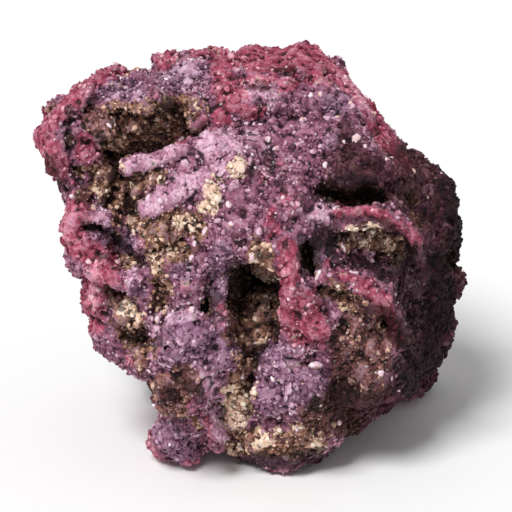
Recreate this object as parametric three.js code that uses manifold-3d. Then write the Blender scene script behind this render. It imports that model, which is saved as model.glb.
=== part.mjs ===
// A piece of dry reef rock: one solid lump of old coral limestone, rough all over.
// Its face has a roomy cave high on the left, a deep hole in the middle, an arched ledge
// over a hollow on the right, and a small foot low on the left.
// Millimetres, +Z up, the face towards -Y, the origin on the ground below the rock's middle.

import * as THREE from "three";
import { ImprovedNoise } from "three/addons/math/ImprovedNoise.js";
import { MarchingCubes } from "three/addons/objects/MarchingCubes.js";
import { mergeVertices } from "three/addons/utils/BufferGeometryUtils.js";
import Module from "manifold-3d";

const wasm = await Module();
wasm.setup();

// What a maker would change first.
const rock = { width: 168, depth: 150, height: 157 };

// The grid that the skin is drawn through: cells is a power of two, and the cells are
// finest at the face and grow with the distance behind it.
const grid = { cells: 64, cell: 6.3, growth: 0.0027, turn: new THREE.Euler(0.35, 0.25, 0.45) };

// How far two forms flow into each other where they meet.
const melt = { lumps: 8, hollows: 3, ridges: 2.5 };

// Slow waves that bend the whole lump.
const bends = [
  { wave: 46, reach: 5, seed: 3.7 },
  { wave: 24, reach: 2.5, seed: 11.3 },
];

// Rounded knobs raised on the mass, with creases between them that cut in by a share of the
// rise. They are turned, so that no crease runs straight up or across.
const knobs = {
  crease: 0.35,
  turn: new THREE.Euler(0.6, 0.5, 0.4),
  sizes: [
    { wave: 52, rise: 6, seed: 4.3 },
    { wave: 25, rise: 4.4, seed: 1.9 },
    { wave: 15, rise: 2.2, seed: 7.1 },
  ],
};

// Rounded pits all over the top, sides and back. The face has hollows of its own.
const pits = { count: 70, widest: 12, narrowest: 5, squash: 0.8, faceStart: -0.3, faceTop: 0.75 };

// The mass of the rock, from the middle outwards.
const lumps = [
  { part: "core", at: [0, -2, 84], size: [54, 46, 56] },
  { part: "crown left", at: [-22, 0, 132], size: [22, 32, 27] },
  { part: "crown right", at: [16, 2, 128], size: [30, 34, 27] },
  { part: "upper right dome", at: [25, -22, 114], size: [29, 36, 30] },
  { part: "left shoulder", at: [-53, -12, 123], size: [27, 34, 25] },
  { part: "cave roof", at: [-36, -32, 146], size: [24, 18, 8] },
  { part: "left middle knob", at: [-49, -26, 86], size: [21, 30, 15] },
  { part: "left lower knob", at: [-42, -26, 58], size: [19, 26, 20] },
  { part: "under the cave", at: [-28, -44, 92], size: [21, 24, 15] },
  { part: "middle ridge", at: [-7, -46, 115], size: [12, 24, 26] },
  { part: "between ridge and dome", at: [9, -46, 108], size: [14, 23, 24] },
  { part: "left pale dome", at: [-22, -47, 54], size: [16, 25, 24] },
  { part: "lower pale dome", at: [15, -44, 42], size: [17, 24, 16] },
  { part: "base", at: [11, -31, 21], size: [29, 27, 22] },
  { part: "left foot", at: [-27, -35, 9], size: [10, 12, 12] },
  { part: "foot root", at: [-23, -29, 28], size: [12, 20, 18] },
  { part: "right lower lobe", at: [41, -34, 52], size: [19, 28, 25] },
  { part: "right flank", at: [50, 4, 82], size: [31, 36, 30] },
  { part: "right low flank", at: [45, 10, 42], size: [30, 36, 30] },
  { part: "right back foot", at: [53, 37, 14], size: [18, 20, 20] },
  { part: "back upper left", at: [-34, 32, 108], size: [33, 31, 28] },
  { part: "back upper right", at: [23, 36, 100], size: [29, 31, 30] },
  { part: "back left", at: [-41, 26, 68], size: [29, 34, 29] },
  { part: "back low left", at: [-34, 28, 40], size: [26, 31, 28] },
  { part: "back middle", at: [4, 46, 60], size: [32, 27, 34] },
  { part: "back low", at: [6, 28, 30], size: [38, 34, 24] },
  { part: "back left foot", at: [-26, 30, 12], size: [17, 19, 18] },
];

// Caves, holes and cracks, cut from the mass.
const hollows = [
  { part: "cave", at: [-46, -52, 127], size: [25, 32, 16] },
  { part: "cave, lower end", at: [-47, -56, 111], size: [17, 26, 13] },
  { part: "cave, far right end", at: [-23, -50, 136], size: [14, 22, 9] },
  { part: "middle hole", at: [-2, -72, 79], size: [12, 44, 17] },
  { part: "middle hole, lower end", at: [1, -76, 62], size: [9, 28, 14] },
  { part: "crevice over the ledge", at: [34, -72, 121], size: [14, 26, 5] },
  { part: "hollow under the ledge", at: [43, -66, 99], size: [16, 26, 10] },
  { part: "dark hollow on the right", at: [67, -48, 84], size: [14, 34, 19] },
  { part: "dark hollow, lower end", at: [66, -50, 56], size: [12, 32, 22] },
  { part: "slot by the middle hole", at: [23, -72, 88], size: [5, 26, 10] },
  { part: "left crack", at: [-53, -54, 92], size: [15, 22, 4] },
  { part: "left cup", at: [-46, -52, 61], size: [8, 13, 8] },
  { part: "left groove", at: [-36, -68, 76], size: [4, 14, 14] },
  { part: "groove above the base", at: [-5, -72, 34], size: [5, 11, 15] },
  { part: "notch by the foot", at: [-17, -50, 4], size: [5, 24, 9] },
  { part: "right flank pit", at: [84, 10, 62], size: [13, 14, 15] },
  { part: "right flank hole", at: [74, 34, 48], size: [15, 13, 11] },
  { part: "back cave", at: [6, 76, 92], size: [21, 28, 16] },
  { part: "back left hole", at: [-62, 50, 84], size: [15, 20, 12] },
  { part: "top pit", at: [0, 26, 156], size: [13, 11, 14] },
  { part: "behind the shoulder", at: [-48, -8, 160], size: [8, 34, 13] },
  { part: "back crack", at: [40, 66, 62], size: [24, 22, 5] },
  { part: "left side pit", at: [-78, -4, 100], size: [13, 16, 10] },
  { part: "hollow beneath", at: [12, 2, 0], size: [24, 20, 11] },
];

// Ridges and thin plates that stand out of the mass, along a line.
const ridges = [
  {
    part: "ledge",
    along: [[23, -52, 109], [33, -58, 114], [45, -59, 114], [56, -54, 106], [62, -46, 94]],
    thick: [5, 12, 4],
  },
  {
    part: "lower lip of the hollow",
    along: [[24, -54, 106], [26, -56, 94], [36, -55, 86], [52, -48, 78]],
    thick: [4, 14, 4],
  },
  {
    part: "hole's right wall",
    along: [[12, -60, 104], [15, -67, 88], [20, -62, 66], [28, -54, 54]],
    thick: [5, 8, 7],
  },
  {
    part: "upper tongue",
    along: [[-14, -48, 134], [-32, -54, 130], [-47, -56, 123]],
    thick: [6, 9, 4],
  },
  {
    part: "lower tongue",
    along: [[-10, -54, 120], [-26, -60, 114], [-40, -60, 105]],
    thick: [7, 9, 5],
  },
  {
    part: "cave's left rim",
    along: [[-57, -34, 145], [-66, -33, 139], [-73, -33, 129], [-73, -34, 119], [-67, -36, 111]],
    thick: [5, 12, 5],
  },
  {
    part: "knob in the cave",
    along: [[-66, -24, 132], [-60, -28, 124]],
    thick: [7, 9, 5],
  },
  {
    part: "dome's rim",
    along: [[16, -16, 150], [36, -15, 140], [49, -15, 125], [57, -19, 109]],
    thick: [6, 10, 6],
  },
];

const noise = new ImprovedNoise();

// How deep a point lies inside a stretched ball, negative outside it.
function inBall(p, at, size) {
  const x = (p.x - at[0]) / size[0];
  const y = (p.y - at[1]) / size[1];
  const z = (p.z - at[2]) / size[2];
  const share = Math.hypot(x, y, z);
  const slope = Math.hypot(x / size[0], y / size[1], z / size[2]);
  return slope > 0 ? (share * (1 - share)) / slope : Math.min(...size);
}

// How deep a point lies inside a ridge: the deepest of the balls along its line.
function inRidge(p, { beads, thick }) {
  return Math.max(...beads.map((bead) => inBall(p, bead, thick)));
}

// The deeper of two depths, rounded off where they meet.
function join(a, b, soft) {
  const near = Math.max(1 - Math.abs(a - b) / soft, 0);
  return Math.max(a, b) + (near * near * soft) / 4;
}

// Bends space smoothly, so that no lump or hollow keeps a ball's form.
function wander(p) {
  const q = p.clone();
  for (const { wave, reach, seed } of bends) {
    const [x, y, z] = [p.x / wave, p.y / wave, p.z / wave];
    q.x += reach * noise.noise(x + seed, y, z);
    q.y += reach * noise.noise(x, y + seed, z + 2 * seed);
    q.z += reach * noise.noise(x - seed, y + 3 * seed, z);
  }
  return q;
}

// How far the knobs stand out at a point.
function knobAt(p) {
  const q = p.clone().applyEuler(knobs.turn);
  return knobs.sizes.reduce((sum, { wave, rise, seed }) => {
    const n = noise.noise(q.x / wave + seed, q.y / wave - seed, q.z / wave);
    return sum + rise * (2 * Math.abs(n) - knobs.crease);
  }, 0);
}

// How deep a point lies in the mass, with its knobs, before anything is cut from it.
function depthInMass(p) {
  const add = (d, { at, size }) => join(d, inBall(p, at, size), melt.lumps);
  return lumps.reduce(add, -Infinity) + knobAt(p);
}

// How deep a point lies in the finished rock.
function depthAt(place) {
  const p = wander(place);
  const cut = (d, { at, size }) => -join(-d, inBall(p, at, size), melt.hollows);
  const depth = hollows.reduce(cut, depthInMass(p));
  return ridges.reduce((d, ridge) => join(d, inRidge(p, ridge), melt.ridges), depth);
}

// Pits spread evenly over the mass, each on the skin and a little different, away from the face.
function scatterPits() {
  const found = [];
  for (let i = 0; i < pits.count; i += 1) {
    const rise = 1 - (2 * i + 1) / pits.count;
    const around = i * Math.PI * (3 - Math.sqrt(5));
    const flat = Math.sqrt(1 - rise * rise);
    const way = new THREE.Vector3(flat * Math.cos(around), flat * Math.sin(around), rise);
    const onFace = way.y < pits.faceStart && rise < pits.faceTop;
    const at = new THREE.Vector3(0, 0, rock.height / 2).addScaledVector(way, rock.width);
    while (!onFace && depthInMass(at) < 0) at.addScaledVector(way, -1);
    const share = 0.5 + noise.noise(3.1 * i + 0.5, 0.3, 0.7);
    const radius = THREE.MathUtils.lerp(pits.narrowest, pits.widest, share);
    const size = [radius, radius * pits.squash, radius];
    if (!onFace) found.push({ part: "pit", at: at.toArray(), size });
  }
  return found;
}

// Where a place counted in even cells lies in the rock, in millimetres.
function placeOf(g) {
  g.applyEuler(grid.turn);
  const stretch = Math.exp(grid.growth * grid.cell * g.y);
  g.x *= grid.cell * stretch;
  g.y = (stretch - 1) / grid.growth;
  g.z = grid.cell * stretch * g.z + rock.height / 2;
  return g;
}

// The surface where the depth is nought, as triangles one cell across.
function skin() {
  const field = new MarchingCubes(grid.cells, new THREE.MeshBasicMaterial(), false, false, 30000);
  const half = grid.cells / 2;
  const leastDepth = grid.cell / 20; // keeps corners apart where the skin grazes a grid point
  for (let z = 0; z < grid.cells; z += 1) {
    for (let y = 0; y < grid.cells; y += 1) {
      for (let x = 0; x < grid.cells; x += 1) {
        const depth = depthAt(placeOf(new THREE.Vector3(x - half, y - half, z - half)));
        field.setCell(x, y, z, Math.sign(depth) * Math.max(Math.abs(depth), leastDepth));
      }
    }
  }
  field.isolation = 0;
  field.update();
  const even = field.geometry.getAttribute("position").array.slice(0, 3 * field.count);
  const corners = new THREE.BufferAttribute(even, 3);
  for (let i = 0; i < corners.count; i += 1) {
    const corner = new THREE.Vector3().fromBufferAttribute(corners, i).multiplyScalar(half);
    corners.setXYZ(i, ...placeOf(corner));
  }
  return new THREE.BufferGeometry().setAttribute("position", corners);
}

// A closed three.js geometry as a solid that can be cut.
function solid(geometry) {
  const bare = geometry.clone();
  bare.deleteAttribute("normal");
  bare.deleteAttribute("uv");
  const merged = mergeVertices(bare, 1e-4);
  return new wasm.Manifold(
    new wasm.Mesh({
      numProp: 3,
      vertProperties: merged.attributes.position.array,
      triVerts: new Uint32Array(merged.index.array),
    }),
  );
}

// Cuts the feet flat on the ground, so that the rock stands on level pads, and keeps only
// the rock's own shell: stray crumbs and sealed bubbles are shells of their own.
function standOn(body) {
  const ground = new THREE.BoxGeometry(2 * rock.width, 2 * rock.depth, rock.height);
  ground.translate(0, 0, -rock.height / 2);
  const shells = body.subtract(solid(ground)).decompose();
  return shells.reduce((a, b) => (a.volume() > b.volume() ? a : b));
}

// A solid as a three.js geometry, brought to the rock's own size and centred on the ground.
function toSize(body) {
  const mesh = body.getMesh();
  const geometry = new THREE.BufferGeometry()
    .setAttribute("position", new THREE.BufferAttribute(mesh.vertProperties, 3))
    .setIndex(new THREE.BufferAttribute(mesh.triVerts, 1));
  geometry.computeBoundingBox();
  const { min, max } = geometry.boundingBox;
  geometry.translate(-(min.x + max.x) / 2, -(min.y + max.y) / 2, -min.z);
  return geometry.scale(
    rock.width / (max.x - min.x),
    rock.depth / (max.y - min.y),
    rock.height / (max.z - min.z),
  );
}

for (const ridge of ridges) {
  const line = new THREE.CatmullRomCurve3(ridge.along.map((p) => new THREE.Vector3(...p)));
  const count = Math.ceil((2 * line.getLength()) / Math.min(...ridge.thick));
  ridge.beads = line.getSpacedPoints(count).map((p) => p.toArray());
}

hollows.push(...scatterPits());

const finish = new THREE.MeshStandardMaterial({ color: 0x7d5470, roughness: 0.9, metalness: 0 });
const reefRock = new THREE.Mesh(toSize(standOn(solid(skin()))), finish);
reefRock.name = "reef_rock";

const part = new THREE.Group();
part.add(reefRock);

export default part;
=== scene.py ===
import math
import random

import bmesh
import bpy
import numpy as np
from mathutils import Euler, Matrix, Vector, noise
from mathutils.bvhtree import BVHTree
from mathutils.kdtree import KDTree


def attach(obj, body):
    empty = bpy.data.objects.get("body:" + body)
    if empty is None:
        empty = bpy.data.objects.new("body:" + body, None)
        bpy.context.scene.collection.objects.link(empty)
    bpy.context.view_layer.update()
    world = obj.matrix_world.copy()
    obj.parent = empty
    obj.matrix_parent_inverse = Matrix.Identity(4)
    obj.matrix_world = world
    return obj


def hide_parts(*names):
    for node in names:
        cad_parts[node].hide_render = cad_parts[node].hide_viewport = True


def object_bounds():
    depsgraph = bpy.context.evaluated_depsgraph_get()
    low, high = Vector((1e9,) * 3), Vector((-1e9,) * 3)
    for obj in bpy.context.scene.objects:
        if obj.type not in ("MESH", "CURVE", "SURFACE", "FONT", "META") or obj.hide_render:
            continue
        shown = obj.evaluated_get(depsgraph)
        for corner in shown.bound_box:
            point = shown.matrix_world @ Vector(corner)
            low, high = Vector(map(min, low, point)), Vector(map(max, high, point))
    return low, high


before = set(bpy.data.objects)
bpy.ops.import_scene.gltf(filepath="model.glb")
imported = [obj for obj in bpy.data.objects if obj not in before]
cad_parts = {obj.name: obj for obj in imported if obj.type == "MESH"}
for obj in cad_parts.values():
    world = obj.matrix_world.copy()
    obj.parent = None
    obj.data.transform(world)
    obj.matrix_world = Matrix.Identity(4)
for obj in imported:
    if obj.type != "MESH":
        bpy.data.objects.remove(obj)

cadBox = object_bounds()
mm = 0.001
boxLow, boxHigh = (np.array(corner) / mm for corner in cadBox)
margin = 0.02  # mm that every mesh stays inside that box
noise.seed_set(7)  # noise vectors come from it, so every run is the same


def tone(red, green, blue):
    # 0 to 255 as on a screen, to the linear values that sockets take
    parts = [c / 255 for c in (red, green, blue)]
    return tuple(c / 12.92 if c <= 0.04045 else ((c + 0.055) / 1.055) ** 2.4 for c in parts) + (1.0,)


def ease(low, high, x):
    # 0 up to low and 1 from high on; with high the lower of the two it falls instead
    t = np.clip((x - low) / (high - low), 0.0, 1.0)
    return t * t * (3 - 2 * t)


# the front view: places on the rock's face are given as it shows them, mm across and mm up

front = {
    "elevation": 20,  # degrees
    "distance": 1200,  # mm
    "field": 195,  # mm across the picture
    "aim": (1.5, -45, 0),  # the plane of the picture goes through this point
    "aimUp": 82.5,  # mm up the picture from it, where the eye looks
}


def frontAxes():
    lean = math.radians(front["elevation"])
    back = Vector((0, -math.cos(lean), math.sin(lean)))
    up = Vector((0, math.sin(lean), math.cos(lean)))
    return back, up, Vector(front["aim"]) + up * front["aimUp"] + back * front["distance"]


def asSeen(points):
    # mm across, mm up and mm away from the eye
    back, up, eye = (np.array(v) for v in frontAxes())
    arm = points - eye
    away = -(arm @ back)
    scale = front["distance"] / away
    return arm[:, 0] * scale + front["aim"][0], arm @ up * scale + front["aimUp"], away


def spotSeen(tree, across, upward):
    # the place on the skin that shows there, if any, and the way from the eye to it
    back, up, eye = frontAxes()
    target = Vector(front["aim"]) + Vector((across - front["aim"][0], 0, 0)) + up * upward
    way = (target - eye).normalized()
    return tree.ray_cast(eye, way)[0], way


# meshes


def newPiece(name, form):
    mesh = bpy.data.meshes.new(name)
    form.to_mesh(mesh)
    form.free()
    piece = bpy.data.objects.new(name, mesh)
    bpy.context.scene.collection.objects.link(piece)
    return piece


def applied(piece):
    # the mesh as its modifiers leave it
    graph = bpy.context.evaluated_depsgraph_get()
    mesh = bpy.data.meshes.new_from_object(piece.evaluated_get(graph))
    old = piece.data
    piece.modifiers.clear()
    piece.data = mesh
    bpy.data.meshes.remove(old)
    mesh.name = piece.name
    return piece


def remeshed(piece, voxel):
    remesh = piece.modifiers.new("remesh", "REMESH")
    remesh.mode = "VOXEL"
    remesh.voxel_size = voxel * mm
    return applied(piece)


def smoothed(piece, rounds):
    smooth = piece.modifiers.new("smooth", "SMOOTH")
    smooth.factor = 0.5
    smooth.iterations = rounds
    return applied(piece)


def cutBy(piece, cutter):
    cut = piece.modifiers.new("cut", "BOOLEAN")
    cut.operation = "DIFFERENCE"
    cut.solver = "MANIFOLD"
    cut.object = cutter
    applied(piece)
    bpy.data.objects.remove(cutter)
    return piece


def pointsOf(piece):
    co = np.empty(len(piece.data.vertices) * 3)
    piece.data.vertices.foreach_get("co", co)
    return co.reshape(-1, 3) / mm


def normalsOf(piece):
    way = np.empty(len(piece.data.vertices) * 3)
    piece.data.vertex_normals.foreach_get("vector", way)
    return way.reshape(-1, 3)


def setPoints(piece, points):
    piece.data.vertices.foreach_set("co", (points * mm).ravel())
    piece.data.update()


def inBox(points):
    return np.clip(points, boxLow + margin, boxHigh - margin)


def treeOf(piece):
    points = pointsOf(piece)
    return BVHTree.FromPolygons([Vector(p) for p in points], [tuple(f.vertices) for f in piece.data.polygons])


def evened(piece, values, rounds):
    # each vertex's value drifts towards its neighbours' average
    edges = np.empty(len(piece.data.edges) * 2, np.int32)
    piece.data.edges.foreach_get("vertices", edges)
    a, b = edges.reshape(-1, 2).T
    n = len(values)
    count = np.maximum(np.bincount(a, minlength=n) + np.bincount(b, minlength=n), 1)
    flat = values.ndim == 1
    values = values[:, None] if flat else values
    for _ in range(rounds):
        near = np.stack([np.bincount(a, v[b], n) + np.bincount(b, v[a], n) for v in values.T], 1)
        values = (values + near / count[:, None]) / 2
    return values[:, 0] if flat else values


def placed(spot, size, turn=Euler()):
    scale = Matrix.Diagonal((*[s * mm for s in size], 1))
    return Matrix.Translation(Vector(spot) * mm) @ turn.to_matrix().to_4x4() @ scale


def addBall(form, fineness, matrix):
    return bmesh.ops.create_icosphere(form, subdivisions=fineness, radius=1, matrix=matrix)["verts"]


def strayed(p, size, reach):
    return p + noise.noise_vector(p / size) * reach


def roughened(verts, steps):
    # the same drift for every shape that holds the place, so that touching shapes stay together
    for size, height in steps:
        for v in verts:
            v.co += noise.noise_vector(v.co / (size * mm)) * height * mm


# the rock's skin, from a merged copy of the CAD node

body = {
    "node": "reef_rock",
    "merge": 1e-5,  # m between corners that are one
    "voxel": 1.6,  # mm, first remesh
    "rounding": 7,  # rounds of smoothing that take the CAD facets out
    "knob": (13, 1.7),  # mm across and high
    "knobStray": (16, 5),  # mm across and far, by which the knobs wander
    "waves": (10, 1.3),  # mm across and high, between the knobs
    "octaves": (0.8, 2.1, 3),  # the waves' falloff, step and number
    "lower": 0.4,  # mm that the skin is set back for both
    "cutVoxel": 1.2,  # mm, once the hollows are cut
    "cutterVoxel": 0.9,
    "poreVoxel": 0.6,
    "fineVoxel": 0.95,
    "inset": 0.992,  # size against the CAD model, so that the crust stays in its box
    "triangles": 190000,
}

# how rough each kind of shape is: mm across and high, in steps
rough = {
    "hollow": ((11, 3.0), (5, 2.2), (2.5, 0.9)),
    "pit": ((6, 2.4), (3, 1.1)),
    "pore": ((1.6, 0.5),),
    "lump": ((9, 2.6), (4, 1.4)),
    "knob": ((7, 2.2), (3, 1.0)),
}

# thin edges that the solids only hint at: points in mm, then half width across, half depth, half height
rims = [
    # ledge's lip
    ([(24, -61, 108.5), (30, -64, 112), (38, -65, 113.5), (46, -64, 113), (52, -62, 110)], (2.2, 3, 1.9)),
    ([(25, -60, 106), (31, -62, 108.5), (36, -62, 109.5)], (2.6, 5, 1.8)),  # thicker at the left
    ([(51, -62, 110.5), (56, -62, 106), (60.5, -61, 100), (64, -59, 93)], (1.9, 4, 2.0)),  # its right end
    # lid below it
    ([(27, -62, 94), (30, -63, 89), (36, -64, 85), (43, -63, 82), (49, -60, 76)], (2.0, 5, 1.6)),
    ([(43, -61, 80), (48, -58, 75), (52, -55, 70), (55, -51, 63), (57, -47, 55)], (3.4, 5, 3.2)),
    ([(14.5, -66, 104), (14.5, -69, 95), (14.5, -70, 84)], (3.2, 5, 3.0)),  # wall right of the hole
    ([(14, -68, 80), (14.5, -66, 72), (15, -63, 64), (16, -61, 58)], (4.6, 5, 4.0)),  # widens at its foot
    ([(19, -67, 77), (22, -64, 69), (24, -60, 62)], (4.2, 4.5, 4.0)),
    ([(-22, -54, 136), (-29, -57, 133), (-37, -58, 130.5), (-45, -58, 129)], (2.4, 4, 2.1)),  # upper tongue
    ([(-38, -60, 130.5), (-45.5, -59, 128.5)], (2.8, 3.6, 3.0)),
    # lower tongue
    ([(-17, -62, 125), (-25, -64, 121.5), (-33, -64, 116.5), (-39, -63, 112.5)], (3.8, 5, 4.0)),
    # left rim
    ([(-60, -37, 150), (-67.5, -37, 145.5), (-73, -38, 138.5), (-74.5, -39, 129.5), (-71, -41, 119)],
     (2.6, 5, 2.5)),
    ([(34, -21, 145), (40, -22, 141), (47, -24, 134), (53, -28, 126)], (2.0, 5, 2.0)),  # dome's rim
    ([(-66, -46, 104), (-68, -44, 96), (-65, -43, 89), (-60, -46, 84)], (3.0, 4, 2.6)),  # left knob's edge
    ([(-67, -44, 104), (-60, -48, 106), (-52, -51, 104)], (2.4, 4, 2.0)),
    ([(-21, -62, 46), (-19, -60, 36), (-16, -58, 26), (-13, -56, 17)], (2.4, 4, 3.4)),  # ridge above the foot
    # the hole's left side
    ([(-12, -62, 84), (-12.5, -64, 77), (-12, -64, 70), (-11, -63, 63)], (2.8, 5, 3.6)),
]

bead = {
    "step": 2.0,  # mm between the beads of an edge
    "swell": (4, 0.35),  # mm across, and share of the size
    "stray": (6, 1.5),  # mm across and far
    "lean": 0.35,  # radians
}

# knobs in 3D: middle and half sizes in mm
lumps = [
    ((-13, -35, 139), (8, 8, 7)), ((-12, -28, 147), (9, 9, 6)), ((-3, -32, 144), (9, 9, 7)),  # crown
    ((5, -31, 146), (9, 9, 7)),
    ((14, -30, 146), (10, 9, 7)), ((24, -28, 145), (9, 9, 7)), ((34, -26, 141), (8, 9, 7)),
    ((4, -22, 151), (12, 9, 5)),
    ((18, 3, 149.5), (9, 10, 6)), ((29, 2, 145), (7, 9, 6)),
    ((-10, -20, 151), (9, 9, 5)), ((19, -18, 152), (9, 9, 5)), ((42, -25, 135), (6, 8, 7)),
    ((3, 0, 148), (11, 12, 7)), ((28, -8, 144.5), (9, 12, 7)), ((36, -14, 137), (8, 12, 7)),
    ((32, -57, 76), (6, 6, 6)), ((37, -56, 72), (6, 6, 6)), ((29, -58, 69), (5, 5, 7)),  # below the lid
    ((27, -60, 77), (4, 5, 5)), ((43, -54, 70), (6, 6, 7)),
    ((27, -58, 98), (5, 6, 8)), ((31, -56, 93), (5, 6, 6)),  # dark lump under the ledge
    ((64, -5, 97), (15, 16, 12)), ((66, -3, 85), (15, 15, 11)), ((67, 4, 76), (14, 16, 10)),  # right flank
    ((35, -50, 124), (9, 9, 5)), ((47, -46, 121), (8, 9, 5)),  # the dome overhangs the crevice
    ((-61, -24, 142), (8, 11, 7)), ((-68, -22, 135), (7, 11, 7)),  # behind the left rim
    ((-61, -38, 93), (9, 12, 8)), ((-57, -36, 70), (8, 10, 9)), ((-62, -36, 84), (7, 10, 6)),  # left edge
    ((-36, -30, 136), (9, 6, 7)), ((-50, -30, 131), (7, 6, 6)),  # at the back of the cave
    ((6, -45, 84), (6, 6, 6)), ((5, -43, 68), (7, 7, 8)), ((-3, -42, 60), (7, 7, 7)),  # inside the hole
    ((4, -46, 56), (6, 6, 6)),
]

# knobs on the face: mm across and up in the front view, half width, half height, half depth, and how far out
knobs = [
    (-14, 125, 8, 6.5, 7, 1), (-14, 115, 6, 8, 6, -1), (-16, 105, 5, 8.5, 5, 0),  # below the crown
    (-6, 117, 4, 5, 4, 0),
    (-58, 132, 7, 5, 5, 0), (-48, 127, 6, 5, 5, 0), (-58, 116, 6, 6, 6, 0),  # rubble in the cave
    (-50, 109, 5, 5, 5, 0),
    (-40, 129, 6, 4, 5, 0), (-21, 138, 3, 7, 4, 1), (-37, 112, 5, 3, 5, 0), (-64, 124, 6, 6, 6, 3),
    (-33, 137, 4, 4, 5, 0),
    (-54, 121, 4, 4, 4, 0), (-44, 134, 5, 3, 4, 0), (-29, 132, 4, 4, 4, 0), (-60, 106, 4, 4, 4, 0),
    (-53, 102, 4, 3, 4, 0),
    (-56, 148, 8, 5, 7, -1), (-33, 157, 6, 4, 6, -1), (-22, 154, 8, 6, 7, -2),  # over it
    (-44, 150, 5, 4, 5, -1),
    (-33, 93, 6, 4, 5, -1), (-25, 90, 6, 5, 5, -1), (-30, 82, 7, 5, 6, -2), (-20, 82, 5, 5, 5, -1),
    (-41, 93, 4, 3.5, 4, 0),
    (-67, 96, 6, 6, 6, -1), (-64, 84, 8, 6, 6, -1), (-56, 78, 8, 6, 6, -1), (-60, 66, 7, 9, 6, -2),  # left
    (-57, 99, 7, 4, 6, 0),
    (-46, 73, 5, 5, 5, 0), (-48, 87, 5, 3, 4, 0), (-46, 61, 7.5, 6.5, 6, 2), (-42, 44, 5, 4, 5, -1),
    (-54, 92, 5, 3, 4, 0),
    (41, 91, 5, 4, 5, 1), (48, 90, 5, 4, 5, 1), (54, 86, 4, 3, 4, 1), (36, 87, 3.5, 3.5, 4, 1),
    (43, 86, 4, 3, 4, 0),
    (46, 66, 6, 6, 5, -1), (42, 56, 6, 5, 5, -1), (35, 50, 5, 6, 5, -1), (50, 50, 5, 5, 5, -1),
    (44, 38, 6, 6, 5, -2), (17, 61, 7, 9, 4, -1), (25, 56, 4.5, 6, 4, -1),
    (-24, 54, 10, 8, 8, -3), (-14, 46, 9, 8, 8, -3), (-30, 48, 7, 7, 6, -2),  # the pale domes
    (12, 42, 9, 7, 7, -2), (8, 30, 8, 8, 7, -3), (20, 32, 8, 8, 7, -3),
    (-7, 29, 5, 6, 5, 4), (-6, 20, 4.5, 5, 5, 3), (-2, 35, 3, 4, 4, 3),  # in the groove between them
    (-32, 33, 5, 6, 5, -1), (-25, 26, 4, 4, 4, 0), (-33, 14, 6, 5, 5, -1),
]

# where it opens: middle, half sizes and turn, in mm and radians
hollows = [
    ((-104, -7, 163), (42, 42, 42), (0, 0, 0)),  # left shoulder's outline
    ((121, -29, 66), (45, 45, 45), (0, 0, 0)),  # right flank's
    ((-75, -40, 112.5), (8, 16, 6.5), (0, 0, 0)),  # notch below the left rim
    ((-67, -43, 139.5), (1.9, 9, 5), (-0.3, 0.2, 0)),  # groove inside the left rim
    ((-67.5, -43, 132), (1.9, 9, 5), (-0.3, 0, 0)),
    ((-66.5, -42, 125), (1.8, 9, 5), (-0.3, -0.1, 0)), ((-64.5, -40, 119), (1.8, 9, 4), (-0.3, -0.3, 0)),
    ((-58, -48, 134), (8, 12, 4), (-0.2, 0, 0)),
    ((-46, -49, 140), (17, 13, 7), (0, 0.12, 0)),  # cave under its roof
    ((-30, -46, 142), (9, 12, 6), (-0.2, 0, 0)),
    ((-50, -56, 124), (13, 16, 8), (0, -0.5, 0)),
    ((-53, -58, 112), (10, 14, 8), (0, -0.4, 0)),  # cave's lower end
    ((-46, -54, 108), (4, 14, 6), (-0.3, 0, 0)),
    ((-33, -62, 124), (11, 10, 2.6), (-0.2, 0.42, 0)),  # between the tongues
    ((0, -62, 88), (7, 18, 5), (-0.2, 0.1, 0)),  # middle hole
    ((0, -62, 75), (8.5, 22, 10), (-0.2, 0, 0)),
    ((0, -64, 62), (7, 14, 7), (0, 0, 0)),
    ((-17, -64, 74), (2.2, 12, 5), (-0.3, 0.15, 0)),  # gap left of it
    ((21.5, -62, 94), (3.2, 18, 8.5), (-0.35, -0.1, 0)),  # gap right of the wall
    ((36, -58, 116.8), (13, 21, 3.9), (-0.35, 0.1, 0)),  # crevice over the ledge
    ((30, -58, 116.4), (6, 18, 3.9), (-0.35, 0, 0)),
    ((36, -56, 115), (15, 8.5, 5), (-0.2, 0.1, 0)),
    ((61.5, -59, 110.7), (5.5, 11, 11), (-0.2, -0.76, 0)),  # right of the ledge
    ((53, -61, 100), (5, 12, 4.5), (-0.2, 0.6, 0)),
    ((45, -62, 99), (12, 15, 8), (-0.2, 0.35, 0)),  # under the ledge
    ((67, -44, 84), (11, 24, 17), (-0.1, 0.1, 0.25)),  # the large right hollow
    ((66, -42, 60), (10, 22, 18), (-0.1, 0.2, 0.2)),
    ((-57, -58, 97), (9, 9, 1.6), (-0.3, 0.1, 0)),  # cracks at the left
    ((-46, -60, 92), (10, 9, 2.2), (-0.3, 0.55, 0)),
    ((-60, -56, 90), (5, 8, 1.4), (-0.3, -0.2, 0)),
    ((-5, -62, 40), (3, 5, 4), (0, -0.1, 0)),  # valley between the lower domes
    ((-36, -70, 80), (1.8, 7, 8), (0, 0.25, 0)),  # groove beside the left knob
    ((-1, -48, 40), (4, 10, 4), (-0.2, 0, 0)),
]

# holes for the top, sides and back, which the front view doesn't show
pits = {
    "count": 54,
    "tries": 6000,
    "seed": 13,
    "radius": (3.2, 9.5),  # mm
    "small": 1.7,  # power; a higher one gives more small pits
    "wide": (0.5, 1),  # shares of the radius
    "deep": (0.7, 1.3),
    "turn": (0, 3),  # radians
    "gap": 4,  # mm between two
    "behind": -14,  # mm along Y and up, from where they start
    "above": 14,
    "facing": -0.5,  # no lower than this, of 1 for straight up
    "bare": (0.75, 1.35),  # shares of the radius, between which the bare coral ends
}

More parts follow.
